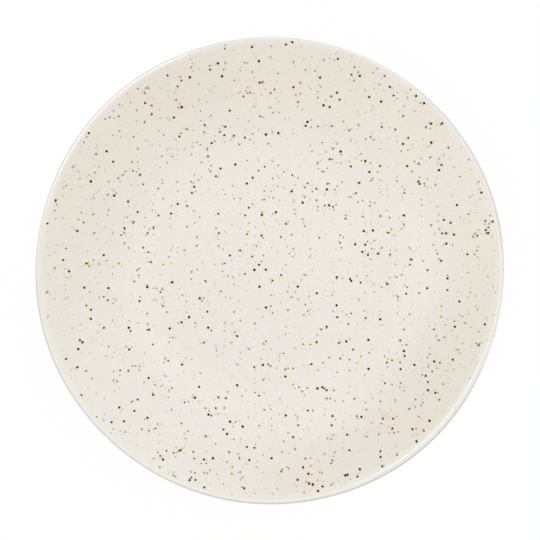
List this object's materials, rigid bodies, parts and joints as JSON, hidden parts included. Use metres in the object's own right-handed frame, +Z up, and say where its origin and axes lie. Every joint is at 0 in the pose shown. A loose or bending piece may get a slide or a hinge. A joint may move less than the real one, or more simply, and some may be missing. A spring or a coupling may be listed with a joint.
{
  "type": "side plate",
  "caption": "Round coupe side plate of speckled cream stoneware, with a flat well, a curved rising rim, a rolled lip and a bare foot ring to stand on.",
  "frame": {"origin": "centre of the foot ring, on the plane that the plate stands on", "axes": "+Z up along the axis of the turned plate; X and Y are any two level directions"},
  "size_m": [0.2, 0.2, 0.0232],
  "materials": {
    "stoneware": "fired stoneware under the glaze",
    "bare_clay": "unglazed, sanded smooth, fine sandy grain",
    "speckled_glaze": "glossy cream glaze with brown-black and ochre specks",
    "rim_glaze": "glossy cream glaze, nearly without specks",
    "plain_glaze": "glossy cream glaze, nearly without specks"
  },
  "bodies": {
    "root": {"clay_body": "stoneware", "foot_ring": "bare_clay", "face_glaze": "speckled_glaze", "rim_glaze": "rim_glaze", "underside_glaze": "plain_glaze", "base_glaze": "plain_glaze"}
  },
  "joints": []
}
